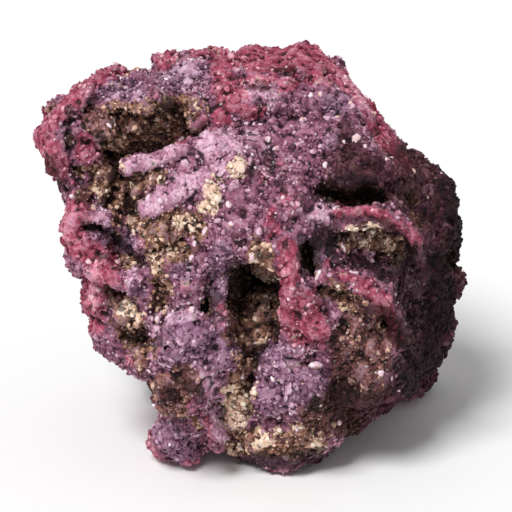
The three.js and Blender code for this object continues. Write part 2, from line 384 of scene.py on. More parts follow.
pores = {
    "worn": {"count": 520, "radius": (0.8, 2.3), "depth": 1.5, "gap": 0.5, "seed": 12},  # on bare coral
    "open": {"count": 320, "radius": (0.9, 2.4), "depth": 1.7, "gap": 3.0, "seed": 11},  # anywhere
}

poreForm = {
    "small": 2,  # power, as for the pits
    "wide": (0.55, 1),  # share of the radius
    "lean": 0.5,
    "above": 6,  # mm
    "tries": 60,  # for each pore
    "drift": (4, 3),  # mm across and far, at the edges of the bare places
}

# nodules and pits share out the skin in cells: shares of a cell's size or height
cell = {
    "nodule": 0.75,  # how far out a nodule reaches
    "pit": 0.42,
    "pitDepth": 1.3,
    "height": (0.45, 0.55),  # what every nodule has, and what luck adds
    "crease": 0.25,
    "luckStep": 17.3,  # far enough for neighbours to differ
}


def cellRelief(q, size, height, pitShare=0.0):
    # rounded nodules with creases between them, and here and there a pit instead
    far, spots = noise.voronoi(q / size)
    luck = noise.cell(spots[0] * cell["luckStep"]) * 0.5 + 0.5
    if luck < pitShare:
        return -cell["pitDepth"] * height * max(0.0, 1 - (far[0] / cell["pit"]) ** 2)
    least, more = cell["height"]
    return height * (max(0.0, 1 - (far[0] / cell["nodule"]) ** 2) * (least + more * luck) - cell["crease"])


def makeBody():
    form = bmesh.new()
    form.from_mesh(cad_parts[body["node"]].data)
    bmesh.ops.remove_doubles(form, verts=form.verts, dist=body["merge"])
    rock = newPiece("rock_skin", form)
    smoothed(remeshed(rock, body["voxel"]), body["rounding"])
    # a knobbly step between the CAD model's lumps and the fine crust
    points, ways = pointsOf(rock), normalsOf(rock)
    size, height = body["waves"]
    lift = np.empty(len(points))
    for k, p in enumerate(points):
        p = Vector(p)
        wave = height * noise.fractal(p / size, *body["octaves"])
        lift[k] = wave + cellRelief(strayed(p, *body["knobStray"]), *body["knob"]) - body["lower"]
    setPoints(rock, points + ways * lift[:, None])
    return rock


def hollowCutter():
    form = bmesh.new()
    for spot, size, turn in hollows:
        addBall(form, 5, placed(spot, size, Euler(turn)))
    roughened(form.verts, rough["hollow"])
    return remeshed(newPiece("cutter", form), body["cutterVoxel"])


def addRim(form, points, size):
    # a chain of overlapping beads, which the remesh makes one
    points = [Vector(p) for p in points]
    across, share = bead["swell"]
    for a, b in zip(points, points[1:]):
        steps = max(2, round((b - a).length / bead["step"]))
        for k in range(steps + (b is points[-1])):
            spot = a.lerp(b, k / steps)
            swell = 1 + share * noise.noise(spot / across)
            spot = strayed(spot, *bead["stray"])
            addBall(form, 2, placed(spot, [s * swell for s in size], Euler((bead["lean"], 0, 0))))


def withRims(rock):
    # rims and knobs join the mass in the next remesh
    tree = treeOf(rock)
    form = bmesh.new()
    for points, size in rims:
        addRim(form, points, size)
    for spot, size in lumps:
        roughened(addBall(form, 4, placed(spot, size)), rough["lump"])
    for across, upward, wide, high, deep, out in knobs:
        spot, way = spotSeen(tree, across, upward)
        if spot is not None:
            roughened(addBall(form, 3, placed(spot - way * out, (wide, deep, high))), rough["knob"])
    form.from_mesh(rock.data)
    form.to_mesh(rock.data)
    form.free()
    return remeshed(rock, body["cutVoxel"])


def tooClose(spot, radius, others, gap):
    return any((spot - other).length < radius + reach + gap for other, reach in others)


def pitCutter(rock, plan, found):
    rng = random.Random(plan["seed"])
    points, ways = pointsOf(rock), normalsOf(rock)
    low, high = plan["radius"]
    form = bmesh.new()
    for _ in range(plan["tries"]):
        if len(found) == plan["count"]:
            break
        k = rng.randrange(len(points))
        spot, way = Vector(points[k]), Vector(ways[k])
        radius = low + (high - low) * rng.random() ** plan["small"]
        if spot.y < plan["behind"] or spot.z < plan["above"] or way.z < plan["facing"]:
            continue
        if tooClose(spot, radius, found, plan["gap"]):
            continue
        found.append((spot, radius))
        turn = way.to_track_quat("Z", "Y") @ Euler((0, 0, rng.uniform(*plan["turn"]))).to_quaternion()
        size = (radius, radius * rng.uniform(*plan["wide"]), radius * rng.uniform(*plan["deep"]))
        addBall(form, 3, placed(spot, size, turn.to_euler()))
    roughened(form.verts, rough["pit"])
    return remeshed(newPiece("cutter", form), body["cutterVoxel"])


def poreCutter(rock, plan, weights, found):
    # small holes on the skin, each with a tilt and a shape of its own
    rng = random.Random(plan["seed"])
    points, ways = pointsOf(rock), normalsOf(rock)
    low, high = plan["radius"]
    lean = poreForm["lean"]
    form = bmesh.new()
    made = tries = 0
    while made < plan["count"] and tries < poreForm["tries"] * plan["count"]:
        tries += 1
        k = rng.randrange(len(points))
        radius = low + (high - low) * rng.random() ** poreForm["small"]
        if rng.random() > weights[k] or points[k][2] < poreForm["above"]:
            continue
        spot, way = Vector(points[k]), Vector(ways[k])
        if tooClose(spot, radius, found, plan["gap"]):
            continue
        found.append((spot, radius))
        made += 1
        tilt = (way + Vector([rng.uniform(-lean, lean) for _ in range(3)])).normalized()
        size = (radius, radius * rng.uniform(*poreForm["wide"]), radius * plan["depth"])
        addBall(form, 2, placed(spot, size, tilt.to_track_quat("Z", "Y").to_euler()))
    roughened(form.verts, rough["pore"])
    return remeshed(newPiece("cutter", form), body["poreVoxel"])


crust = {
    "lump": (5.4, 0.8),  # mm across and high
    "nodule": (2.9, 0.55),
    "apart": (50, 9, 3),  # mm from the lumps' cells to the nodules'
    "fold": (4.5, 0.45),
    "grain": (1.7, 0.28),
    "stray": (8, 2.2),  # mm across and far
    "pitShare": 0.2,
    "ground": (0.3, 2.5),  # mm up, over which the crust fades in
}


def crusted(rock):
    points, ways = pointsOf(rock), normalsOf(rock)
    (foldSize, foldHeight), (grainSize, grainHeight) = crust["fold"], crust["grain"]
    lift = np.empty(len(points))
    for k, p in enumerate(points):
        p = Vector(p)
        q = strayed(p, *crust["stray"])
        fold = foldHeight * (0.5 - abs(noise.noise(q / foldSize)) * 2)
        coarse = cellRelief(q, *crust["lump"], crust["pitShare"])
        fine = cellRelief(q + Vector(crust["apart"]), *crust["nodule"], crust["pitShare"])
        lift[k] = coarse + fine + fold + grainHeight * noise.noise(p / grainSize)
    lift *= ease(*crust["ground"], points[:, 2])
    points = points + ways * lift[:, None]
    middle = (boxLow + boxHigh) / 2 * (1, 1, 0)
    setPoints(rock, inBox(middle + (points - middle) * body["inset"]))
    return rock


def thinned(rock):
    rock.data.calc_loop_triangles()
    have = len(rock.data.loop_triangles)
    print("crusted skin,", have, "triangles")
    if have > body["triangles"]:
        thin = rock.modifiers.new("thin", "DECIMATE")
        thin.ratio = body["triangles"] / have
        applied(rock)
    setPoints(rock, inBox(pointsOf(rock)))
    return rock


# where each finish goes on the face: reach in mm, then a line of places across and up in the front view

marks = {
    "pink": [
        (6.5, (-60, 151), (-68, 146), (-75, 139), (-79, 131), (-79, 124), (-75, 117)),  # left rim
        (4, (-58, 153), (-50, 154)),
        (5, (-64, 126), (-62, 122)), (2.5, (-27, 127)), (4.5, (-33, 158)), (4, (-21, 161)),
        (6, (-12, 158), (2, 160), (12, 159), (22, 159), (28, 155)),  # crown
        (5, (-10, 150), (-9, 142), (-12, 136)),
        (2, (-2, 154), (16, 154)), (2, (-4, 149), (8, 150)), (2.2, (-14, 146), (-2, 143)),
        (2, (-6, 138), (2, 137)),
        # dome's rim
        (4.4, (30, 153), (35, 151), (40, 147), (44, 142), (46, 136), (49, 130), (53, 125), (58, 119)),
        (2.2, (11, 145), (17, 150), (26, 150)), (3.5, (7, 98), (8, 92)), (3, (12, 106)), (2.4, (4, 112)),
        (2, (10, 118)),
        (2.6, (33, 101), (45, 100), (50, 98), (55, 95), (60, 90), (64, 86)),  # ledge
        (4.5, (14, 86), (14, 73)), (5.5, (14, 66), (16, 56)), (5.5, (21, 66), (24, 56)),  # wall
        (4, (18, 52), (27, 53)),
        (1.7, (28, 79), (35, 75), (40, 73)), (4, (42, 71), (48, 67), (51, 61), (56, 51)),  # lid
        # left knobs
        (5.5, (-67, 101), (-70, 95), (-68, 88), (-62, 84), (-57, 79), (-60, 71), (-60, 63), (-61, 57)),
        (4, (-55, 82), (-54, 74)),
        (2.6, (44, 52)), (2, (38, 47)), (2.4, (-46, 42)),
    ],
    "pale": [
        (4.5, (-45, 117), (-38, 120), (-28, 122)), (5.5, (-21, 112), (-30, 107), (-38, 101)),  # tongues
        (1.3, (33, 152), (39, 147), (43, 141), (46, 134)),  # along the dome's rim, painted highlight
        (2, (-68, 100), (-70, 92)), (2, (-62, 76), (-60, 64)),  # left knobs, painted highlight
        (5.5, (-16, 126), (-10, 125)), (4.5, (-16, 121), (-13, 115)), (4.5, (-24, 152)), (3, (-31, 152)),
        (5, (6, 142), (2, 146)), (4.5, (3, 124), (-3, 126)), (2.6, (-37, 59), (-37, 53)),
        (4, (-22, 62), (-30, 60)),
        (3.2, (-18, 38), (-15, 31), (-14, 24), (-11, 14)), (3.4, (22, 98), (30, 101)), (3, (-46, 75)),
        (3, (-48, 88)), (4, (-57, 99)),
        (1.2, (-72, 132), (-72.5, 126), (-71, 121)), (2.4, (-58, 135), (-54, 133)), (2.6, (-66, 88)),
        (2.4, (-60, 78)), (3, (12, 46)),
    ],
    "violet": [
        (6, (-33, 15), (-27, 10)), (6, (32, 140)), (6, (-56, 147), (-46, 146)), (5, (-20, 154), (-31, 149)),
        (9, (-26, 52), (-14, 46)), (7, (-28, 44)),
        (9, (10, 42), (8, 30)), (7, (18, 32), (25, 34)), (4.5, (-26, 77)), (4, (-44, 71)),
        (5, (-12, 84), (-11, 70)),
        (6, (27, 92), (27, 84)), (4, (30, 126)), (5, (-56, 92)), (5, (-48, 88)),
    ],
    "bare": [
        (6, (-52, 137), (-36, 137), (-24, 138)), (7, (-50, 127), (-38, 128)),  # cave
        (7, (-55, 120), (-57, 112), (-52, 107), (-45, 104)), (3.5, (-44, 111), (-34, 113)),
        (5, (-42, 94), (-28, 96), (-20, 93)), (4.5, (-36, 87), (-26, 84)),  # slope below it
        (3.2, (-38, 84), (-35, 76), (-33, 70), (-37, 65)), (6, (-47, 62), (-46, 56)),
        (4, (-40, 47), (-43, 42)),
        (6, (3, 83), (5, 76)), (8, (0, 72), (1, 58)), (6, (-1, 51), (-4, 45)),  # middle hole
        (5, (1, 38), (-5, 34), (-6, 27), (-7, 19)),  # below it
        (5.5, (-6, 11), (5, 12), (13, 11), (24, 12)), (3, (17, 17)),
        (5, (36, 88), (44, 91), (50, 87), (57, 83)), (5, (32, 69), (38, 66)), (2.4, (-26, 23)),
        (3, (60, 107), (64, 96)),
    ],
    "rust": [
        (8, (40, 57), (47, 50)), (7, (36, 48), (48, 42)), (7, (36, 38), (44, 33)),
        (7, (32, 27), (36, 19), (24, 22)),
        (7, (-34, 32), (-26, 35), (-30, 24)), (5, (-45, 50)), (4, (-8, 52)), (6, (-30, 90)),
        (6, (-60, 134), (-56, 130)), (4, (-64, 106)),
    ],
    "cream": [
        (3.4, (-6, 118), (-6, 114)), (4.2, (-16, 110), (-16, 101)), (1.8, (-38, 83), (-36, 77)),
        (1.2, (-34, 71)),
        (2, (0, 82)), (2, (9, 73)), (1.6, (6, 67)), (2.5, (-49, 63), (-43, 60)), (4.6, (-8, 30), (-7, 20)),
        (2.8, (-4, 20), (-1, 31)),
        (2.6, (2, 11), (9, 14)), (2, (24, 14), (25, 8)), (2, (-5, 10)), (2.2, (17, 18)),
        (2, (-29, 96), (-23, 94)), (2, (-31, 84)),
        (2, (-58, 106)), (1.6, (-70, 126)), (3, (38, 91)), (3.4, (46, 92)), (1.8, (42, 87)),
        (2, (-35, 112)), (1.6, (-45, 92)),
        (1.6, (-21, 139)), (2, (52, 87)), (1.8, (33, 69)),
    ],
    # painted shadow in crevices, holes, gaps, grooves and under overhangs
    "dark": [
        (2.2, (-36, 141), (-27, 139)), (2.5, (-57, 127)), (4, (-46, 102)), (3, (-51, 114)),
        (4, (26, 106), (36, 106), (47, 105)), (5, (22, 88), (22, 78)), (4, (30, 110), (44, 110)),
        (3, (31, 90), (30, 83)), (3.4, (-15, 68), (-15, 61)), (4, (-5, 78), (-6, 70), (-5, 62)),
        (2.4, (7, 57)), (2.6, (-3, 47), (2, 45)),
        (11, (61, 78), (68, 76), (68, 60)), (10, (63, 54), (67, 44), (62, 38)),  # right hollow, painted shadow
        (7, (60, 66)),
        (5, (75, 110), (79, 96), (79, 84)),
        (1.8, (-62, 94), (-54, 93)), (2, (-50, 88), (-42, 82)), (1.6, (-58, 83)),
        (2.2, (33, 81), (44, 79), (53, 74)),
        (1.5, (-69, 139), (-70, 130), (-69.5, 121)), (3, (-33, 138), (-27, 136)), (1.6, (-50, 64)),
        (1.5, (-46, 57)), (2.4, (-36, 66)), (3.4, (-42, 51)), (2, (3, 83)), (1.5, (-6, 27)),
        (2.2, (11, 108)), (2, (-1, 115)),
        (1.6, (17, 68)), (1.6, (20, 63)), (4, (-2, 4), (14, 5), (32, 6)), (3.5, (24, 26)),
        (2.6, (-26, 34), (-20, 31)), (2, (-35, 50)),
    ],
    # dark crimson crust, and painted shadow on the right flank, the lower right and under the overhangs
    "dusk": [
        (12, (62, 118), (70, 104), (76, 92)), (10, (66, 112), (74, 98)),  # right flank, painted shadow
        (9, (76, 78), (72, 56), (70, 40)),
        (8, (70, 38), (66, 36), (58, 31), (48, 26)), (8, (34, 28), (40, 20)),  # lower right, painted shadow
        (10, (40, 116), (52, 110)), (6, (36, 126), (34, 118)),  # over the crevice, painted shadow under the dome's overhang
        (4, (-32, 30)), (7, (28, 90)), (1.8, (8, 153), (17, 153)), (1.6, (0, 147), (6, 147)),
        (5, (60, 102), (66, 96), (70, 88)), (4, (45, 64), (53, 58), (57, 50)),
        (2.2, (32, 97), (46, 97), (55, 92), (62, 85)), (3, (-78, 120), (-74, 110)),
    ],
}

stroke = {
    "edge": (0.6, 1.25),  # shares of the reach, between which a mark fades
    "slack": 7,  # mm behind the line that it still covers in full
    "deeper": 0.4,  # share that counts of what lies deeper
}


def lineMask(points, tree, lines, drift):
    # 1 on the lines and 0 past their reach, on what the front view shows and a little round its edges
    across, upward, away = asSeen(points)
    seen = np.stack([across, upward], 1) + drift[:, :2]
    inner, outer = stroke["edge"]
    mask = np.zeros(len(points))
    for reach, *places in lines:
        depths = []
        for place in places:
            spot = spotSeen(tree, *place)[0]
            depths.append(front["distance"] if spot is None else asSeen(np.array([spot]))[2][0])
        for a, b, depthA, depthB in zip(places, places[1:] or places, depths, depths[1:] or depths):
            a, b = np.array(a, float), np.array(b, float)
            squared = max(((b - a) ** 2).sum(), 1e-6)
            t = np.clip(((seen - a) @ (b - a)) / squared, 0, 1)
            side = np.linalg.norm(seen - a - t[:, None] * (b - a), axis=1)
            behind = np.maximum(away - depthA - t * (depthB - depthA) - stroke["slack"], 0)
            far = np.hypot(side, stroke["deeper"] * behind)
            mask = np.maximum(mask, 1 - ease(inner * reach, outer * reach, far))
    return mask


# what the front view doesn't show is patched by noise
wild = {
    "pink": {"size": 21, "seed": 3, "low": 0.08, "high": 0.26},
    "violet": {"size": 19, "seed": 5, "low": 0.1, "high": 0.3},
    "pale": {"size": 13, "seed": 7, "low": 0.22, "high": 0.42},
    "bare": {"size": 12, "seed": 11, "low": 0.26, "high": 0.36},
    "rust": {"size": 18, "seed": 13, "low": 0.18, "high": 0.34},
    "cream": {"size": 7, "seed": 17, "low": 0.42, "high": 0.52},
    "dusk": {"size": 30, "seed": 19, "low": 0.1, "high": 0.35},
}

wildForm = {"octaves": (1.0, 2.0, 2), "apart": (9.1, 3.7, 0)}  # falloff, step and number; step between seeds

hiding = {
    "lift": 0.6,  # mm over the skin, where a ray to the eye starts
    "far": 400,  # mm
    "rounds": 60,  # of evening, because a small gap between grains isn't hidden
    "soft": (0.55, 0.95),
    "front": (-45, -25),  # mm along Y; nothing nearer than the first is hidden
}


def wildMask(points, size, seed, low, high):
    shift = Vector([seed * step for step in wildForm["apart"]])
    values = np.array([noise.fractal(Vector(p) / size + shift, *wildForm["octaves"]) for p in points])
    return ease(low, high, values)


def hiddenFromFront(piece, tree, points, ways):
    eye = frontAxes()[2]
    hidden = np.empty(len(points))
    for k, (p, way) in enumerate(zip(points, ways)):
        start = Vector(p) + Vector(way) * hiding["lift"]
        hidden[k] = tree.ray_cast(start, (eye - start).normalized(), hiding["far"])[0] is not None
    hidden = evened(piece, hidden, hiding["rounds"])
    return ease(*hiding["soft"], hidden) * ease(*hiding["front"], points[:, 1])


def pitMask(points, found):
    inner, outer = pits["bare"]
    mask = np.zeros(len(points))
    for spot, radius in found:
        far = np.linalg.norm(points - np.array(spot), axis=1)
        mask = np.maximum(mask, 1 - ease(inner * radius, outer * radius, far))
    return mask


def driftOf(points, size, height):
    return np.array([noise.noise_vector(Vector(p) / size) for p in points]) * height


rock = makeBody()
print("body copied and rounded")
rock = withRims(cutBy(rock, hollowCutter()))
print("hollows, rims and knobs in place")
pitSpots, poreSpots = [], []
cutBy(rock, pitCutter(rock, pits, pitSpots))
print("pits in place,", len(pitSpots))
bareNow = lineMask(pointsOf(rock), treeOf(rock), marks["bare"], driftOf(pointsOf(rock), *poreForm["drift"]))
porePlans = ((pores["worn"], bareNow), (pores["open"], np.ones(len(bareNow))))
for cutter in [poreCutter(rock, plan, weights, poreSpots) for plan, weights in porePlans]:
    cutBy(rock, cutter)
smoothed(remeshed(rock, body["fineVoxel"]), 1)
print("pores in place,", len(poreSpots))
rock = thinned(crusted(rock))
rock.data.shade_smooth()
print("skin ready")

room = {
    "samples": 9000,
    "rays": 28,
    "seed": 5,
    "reach": 45,  # mm, past which nothing closes a place in
    "lift": 0.8,  # mm over the skin, where the rays start
    "lean": 0.3,  # how far they turn away from the skin
    "near": 4,  # samples that a vertex averages
    "soft": 0.4,  # mm
    "rounds": 3,
}


def openness(piece):
    # how much of the room over each place is free, from rays at some of the vertices
    rng = random.Random(room["seed"])
    points, ways, tree = pointsOf(piece), normalsOf(piece), treeOf(piece)
    fan = [Vector([rng.gauss(0, 1) for _ in range(3)]).normalized() for _ in range(room["rays"])]
    known, free = KDTree(room["samples"]), []
    for n, k in enumerate(rng.sample(range(len(points)), room["samples"])):
        way = Vector(ways[k])
        start = Vector(points[k]) + way * room["lift"]
        hits = 0
        for ray in fan:
            ray = (ray if ray.dot(way) > 0 else -ray) + way * room["lean"]
            hits += tree.ray_cast(start, ray.normalized(), room["reach"])[0] is not None
        free.append(1 - hits / room["rays"])
        known.insert(points[k], n)
    known.balance()
    out = np.empty(len(points))
    for k, p in enumerate(points):
        near = known.find_n(p, room["near"])
        weights = [1 / (far + room["soft"]) for _, _, far in near]
        out[k] = sum(w * free[i] for w, (_, i, _) in zip(weights, near)) / sum(weights)
    return evened(piece, out, room["rounds"])


def setField(piece, name, values):
    made = piece.data.attributes.new(name, "FLOAT", "POINT")
    made.data.foreach_set("value", np.asarray(values, np.float32))


def getField(piece, name):
    values = np.empty(len(piece.data.vertices), np.float32)
    piece.data.attributes[name].data.foreach_get("value", values)
    return values


fieldNames = ("relief", "free", "bare", "pink", "pale", "violet", "rust", "cream", "dark", "dusk")

shading = {
    "drift": ((4.5, 2.2), (1.6, 1.1)),  # mm across and far, for ragged edges
    "fine": (6, 0.45),  # rounds of evening that leave the fine relief, and its span in mm
    "wide": 60,  # rounds that leave the wide one
    "ridges": (0.8, 2.2, 0.6),  # mm of it over which ridges turn pink, and how much
    "shut": (0.52, 0.34),  # free room over which the crust gives way to bare coral
    "coatOverBare": 0.95,
    "paleOverPink": 0.3,
    "tint": 0.45,  # the grains have tints of their own
}


def colourFields(piece, found):
    points, ways, tree = pointsOf(piece), normalsOf(piece), treeOf(piece)
    rounds, span = shading["fine"]
    fine = ((points - evened(piece, points, rounds)) * ways).sum(1)
    wide = ((points - evened(piece, points, shading["wide"])) * ways).sum(1)
    free = openness(piece)
    drift = sum(driftOf(points, *step) for step in shading["drift"])
    masks = {name: lineMask(points, tree, marks[name], drift) for name in marks}
    hidden = hiddenFromFront(piece, tree, points, ways)
    for name, patch in wild.items():
        masks[name] = np.maximum(masks[name], wildMask(points, **patch) * hidden)
    masks["bare"] = np.maximum(masks["bare"], pitMask(points + drift, found))
    coated = np.maximum(np.maximum(masks["pink"], masks["violet"]), masks["pale"])
    shut = ease(*shading["shut"], free) * (1 - coated)
    masks["bare"] = np.maximum(shut, masks["bare"] * (1 - shading["coatOverBare"] * coated))
    low, high, share = shading["ridges"]
    ridges = ease(low, high, wide) * share * (1 - masks["pale"]) * (1 - masks["violet"]) * (1 - masks["dusk"])
    masks["pink"] = np.maximum(ridges, masks["pink"] * (1 - shading["paleOverPink"] * masks["pale"]))
    masks["relief"] = np.clip(fine / span * 0.5 + 0.5, 0, 1)
    masks["free"] = free
    for name in fieldNames:
        setField(piece, name, masks[name])
    setField(piece, "tint", np.full(len(points), shading["tint"]))
    print("openness from", round(float(free.min()), 2), "to", round(float(free.max()), 2))


colourFields(rock, pitSpots)
print("colour fields ready")


# materials

palette = {
    "plum": tone(68, 32, 48),
    "mauve": tone(136, 82, 104),
    "lilac": tone(184, 132, 156),
    "frost": tone(228, 194, 212),
    "indigo": tone(66, 36, 56),
    "violet": tone(134, 90, 116),
    "haze": tone(182, 142, 166),
    "crimson": tone(106, 28, 46),
    "magenta": tone(156, 66, 90),
    "rose": tone(204, 124, 144),
    "blush": tone(236, 182, 196),
    "soil": tone(44, 24, 18),
    "brown": tone(104, 66, 54),
    "ochre": tone(164, 120, 97),
    "sand": tone(216, 178, 155),
    "cream": tone(246, 216, 188),
    "rust": tone(98, 56, 56),
    "clay": tone(150, 102, 96),
    "ivory": tone(252, 238, 220),
    "white": tone(248, 238, 240),
    # the colour of painted shade in creases, pores and recesses
    "shade": tone(20, 8, 10),
    # dark crimson, also used as painted shadow
    "dusk": tone(94, 38, 46),
}

# each finish from dark to light
ramps = {
    "lilac": ((0.28, "plum"), (0.47, "mauve"), (0.6, "lilac"), (0.74, "frost")),
    "violet": ((0.28, "indigo"), (0.47, "violet"), (0.61, "haze"), (0.76, "frost")),
    "pink": ((0.28, "crimson"), (0.48, "magenta"), (0.62, "rose"), (0.76, "blush")),
    "rust": ((0.3, "soil"), (0.46, "rust"), (0.6, "clay"), (0.74, "sand")),
    "bare": ((0.3, "soil"), (0.44, "brown"), (0.56, "ochre"), (0.66, "sand"), (0.78, "cream")),
    "cream": ((0.3, "ochre"), (0.42, "sand"), (0.52, "cream"), (0.64, "ivory")),
    "shell": ((0.35, "sand"), (0.5, "frost"), (0.62, "white")),
}


def addNode(tree, kind, **settings):
    node = tree.nodes.new(kind)
    for name, value in settings.items():
        setattr(node, name, value)
    return node


def join(tree, source, target):
    tree.links.new(source, target)


def fill(tree, socket, value):
    # a number or colour is set, and a socket is joined
    if isinstance(value, (int, float, tuple)):
        socket.default_value = value
    else:
        join(tree, value, socket)


def noiseAt(tree, coords, size, detail=3.0, roughness=0.6):
    # size in mm
    made = addNode(tree, "ShaderNodeTexNoise")
    made.inputs["Scale"].default_value = 1000 / size
    made.inputs["Detail"].default_value = detail
    made.inputs["Roughness"].default_value = roughness
    join(tree, coords, made.inputs["Vector"])
    return made.outputs["Fac"]


def ramp(tree, value, name):
    made = addNode(tree, "ShaderNodeValToRGB")
    elements = made.color_ramp.elements
    while len(elements) < len(ramps[name]):
        elements.new(0.5)
    for element, (place, colour) in zip(elements, ramps[name]):
        element.position = place
        element.color = palette[colour]
    join(tree, value, made.inputs["Fac"])
    return made.outputs["Color"]


def mapped(tree, value, low, high, start=0.0, end=1.0):
    made = addNode(tree, "ShaderNodeMapRange", interpolation_type="SMOOTHSTEP")
    for name, number in (("From Min", low), ("From Max", high), ("To Min", start), ("To Max", end)):
        made.inputs[name].default_value = number
    join(tree, value, made.inputs["Value"])
    return made.outputs["Result"]


def reckoned(tree, operation, a, b):
    made = addNode(tree, "ShaderNodeMath", operation=operation)
    fill(tree, made.inputs[0], a)
    fill(tree, made.inputs[1], b)
    return made.outputs["Value"]


def plus(tree, a, b):
    return reckoned(tree, "ADD", a, b)


def minus(tree, a, b):
    return reckoned(tree, "SUBTRACT", a, b)


def times(tree, a, b):
    return reckoned(tree, "MULTIPLY", a, b)


def larger(tree, a, b):
    return reckoned(tree, "MAXIMUM", a, b)


def blended(tree, factor, a, b, blend="MIX"):
    made = addNode(tree, "ShaderNodeMix", data_type="RGBA", blend_type=blend)
    for number, value in ((0, factor), (6, a), (7, b)):  # the sockets for colours
        fill(tree, made.inputs[number], value)
    return made.outputs[2]


def field(tree, name):
    return addNode(tree, "ShaderNodeAttribute", attribute_name=name).outputs["Fac"]


sand = {
    "cell": 1.7,  # mm
    "stray": (900, 0.0011),  # cells bent by noise: its scale, and m
    "core": (0.42, 0.12),  # share of a cell where its pore or speck ends and is full
    "pores": (0.52, 0.85),  # luck of the cells that are one
    "specks": (0.8, 0.97),
    "rough": (0.9, 4, 0.7),  # mm, detail and roughness
    "speckHeight": 0.5,
}


def grainGroup():
    # dark pores and pale specks at the size of sand, for every material of the rock; the pores' dark is
    # painted shade, and the specks are pale grains and painted glints
    tree = bpy.data.node_groups.new("sandGrain", "ShaderNodeTree")
    tree.interface.new_socket("Size", in_out="INPUT", socket_type="NodeSocketFloat").default_value = 1.0
    for name in ("Pores", "Specks", "Height"):
        tree.interface.new_socket(name, in_out="OUTPUT", socket_type="NodeSocketFloat")
    into, out = addNode(tree, "NodeGroupInput"), addNode(tree, "NodeGroupOutput")
    scaled = addNode(tree, "ShaderNodeVectorMath", operation="SCALE")
    join(tree, addNode(tree, "ShaderNodeTexCoord").outputs["Object"], scaled.inputs[0])
    join(tree, into.outputs["Size"], scaled.inputs["Scale"])
    coords = scaled.outputs["Vector"]
    scale, reach = sand["stray"]
    stray = addNode(tree, "ShaderNodeTexNoise")
    stray.inputs["Scale"].default_value = scale
    join(tree, coords, stray.inputs["Vector"])
    bent = addNode(tree, "ShaderNodeVectorMath", operation="MULTIPLY_ADD")
    join(tree, stray.outputs["Color"], bent.inputs[0])
    bent.inputs[1].default_value = (reach, reach, reach)
    join(tree, coords, bent.inputs[2])
    cells = addNode(tree, "ShaderNodeTexVoronoi")
    cells.inputs["Scale"].default_value = 1000 / sand["cell"]
    join(tree, bent.outputs["Vector"], cells.inputs["Vector"])
    luck = addNode(tree, "ShaderNodeSeparateColor")
    join(tree, cells.outputs["Color"], luck.inputs["Color"])
    core = mapped(tree, cells.outputs["Distance"], *sand["core"])
    porous = times(tree, core, mapped(tree, luck.outputs["Red"], *sand["pores"]))
    specks = times(tree, core, mapped(tree, luck.outputs["Green"], *sand["specks"]))
    raised = plus(tree, noiseAt(tree, coords, *sand["rough"]), times(tree, specks, sand["speckHeight"]))
    join(tree, porous, out.inputs["Pores"])
    join(tree, specks, out.inputs["Specks"])
    join(tree, minus(tree, raised, porous), out.inputs["Height"])
    return tree


sandGrain = grainGroup()


def newMaterial(name, roughness, grainSize):
    made = bpy.data.materials.new(name)
    made.use_nodes = True
    tree = made.node_tree
    shader = tree.nodes["Principled BSDF"]
    shader.inputs["Roughness"].default_value = roughness
    shader.inputs["Specular IOR Level"].default_value = 0.25
    grain = addNode(tree, "ShaderNodeGroup", node_tree=sandGrain)
    grain.inputs["Size"].default_value = grainSize
    return made, tree, shader, grain, addNode(tree, "ShaderNodeTexCoord").outputs["Object"]


def bumped(tree, shader, height, depth):
    bump = addNode(tree, "ShaderNodeBump")
    bump.inputs["Distance"].default_value = depth * mm
    bump.inputs["Strength"].default_value = 1.0
    join(tree, height, bump.inputs["Height"])
    join(tree, bump.outputs["Normal"], shader.inputs["Normal"])


finish = {
    "roughness": 0.8,
    "broad": (14,),  # mm, then detail
    "middle": (4.5, 4),
    "fine": (1.4, 3),
    "tint": 0.4,  # how much a grain's own tint counts
    "pale": 0.14,
    "ragged": 2.2,
    "cloudy": 1.2,
    "torn": 1.6,
    "worn": (0.65, 1.0, 0, 0.16),  # relief from and to, and how much frost it gets: wear and painted highlight on the tops
    "creases": (0.54, 0.1, 0, 0.92),  # and how much painted shade falls in them
    "pores": (0.2, 0.8, 0.85, 0.4),  # pink or pale from and to, and how dark the painted shade in the pores is there
    "specks": 0.55,
    "soot": (0.35, 0.9, 0, 0.85),
    "depths": (0.28, 0.02, 0, 0.85),  # free room from and to, and how dark the painted shade in recesses gets
    "dark": 0.92,
    "dusk": 0.85,
    "bump": 0.35,  # mm
}


